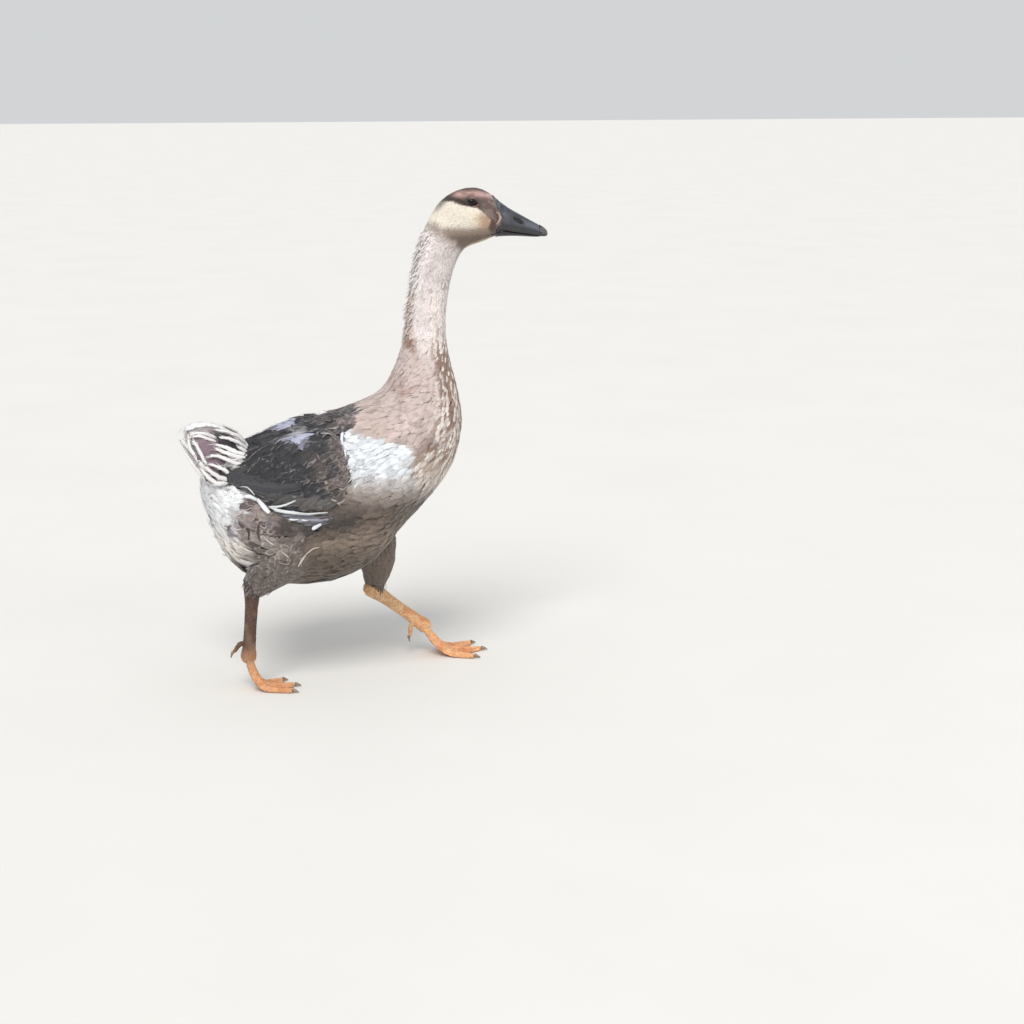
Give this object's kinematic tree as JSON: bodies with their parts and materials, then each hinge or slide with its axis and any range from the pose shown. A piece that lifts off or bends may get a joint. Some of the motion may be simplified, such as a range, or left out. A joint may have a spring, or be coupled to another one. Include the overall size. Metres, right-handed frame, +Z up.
{
  "type": "domestic goose",
  "caption": "Life-size still model of a domestic goose in mid-stride, with an upright neck, dark bill, folded wings, cocked fan tail and webbed feet.",
  "frame": {"origin": "on the floor, under the middle of the bounding box", "axes": "+X the way the goose walks, +Y to its left, +Z up"},
  "size_m": [0.5241, 0.2272, 0.6986],
  "materials": {
    "plumage_grey": "grey-brown body feathers with pale edges",
    "plumage_buff": "pale pinkish-grey neck feathers and cream cheeks",
    "plumage_dark": "charcoal wing and back feathers",
    "plumage_white": "white-edged tail feathers",
    "bill_slate": "satin dark slate bill",
    "leg_orange": "scaly dull orange skin",
    "claw_horn": "satin brown horn",
    "eye_dark": "glossy dark brown eye"
  },
  "bodies": {
    "root": {"trunk": "plumage_grey", "thigh_left": "plumage_grey", "thigh_right": "plumage_grey", "neck_lower": "plumage_buff", "neck_upper": "plumage_buff", "head": "plumage_buff", "wing_left": "plumage_dark", "wing_right": "plumage_dark", "tail": "plumage_white", "bill_upper": "bill_slate", "bill_lower": "bill_slate", "eye_left": "eye_dark", "eye_right": "eye_dark", "shank_left": "leg_orange", "shank_right": "leg_orange", "foot_left": "leg_orange", "foot_right": "leg_orange", "hind_toe_left": "leg_orange", "hind_toe_right": "leg_orange", "claw_inner_left": "claw_horn", "claw_middle_left": "claw_horn", "claw_outer_left": "claw_horn", "claw_hind_left": "claw_horn", "claw_inner_right": "claw_horn", "claw_middle_right": "claw_horn", "claw_outer_right": "claw_horn", "claw_hind_right": "claw_horn"}
  },
  "joints": []
}
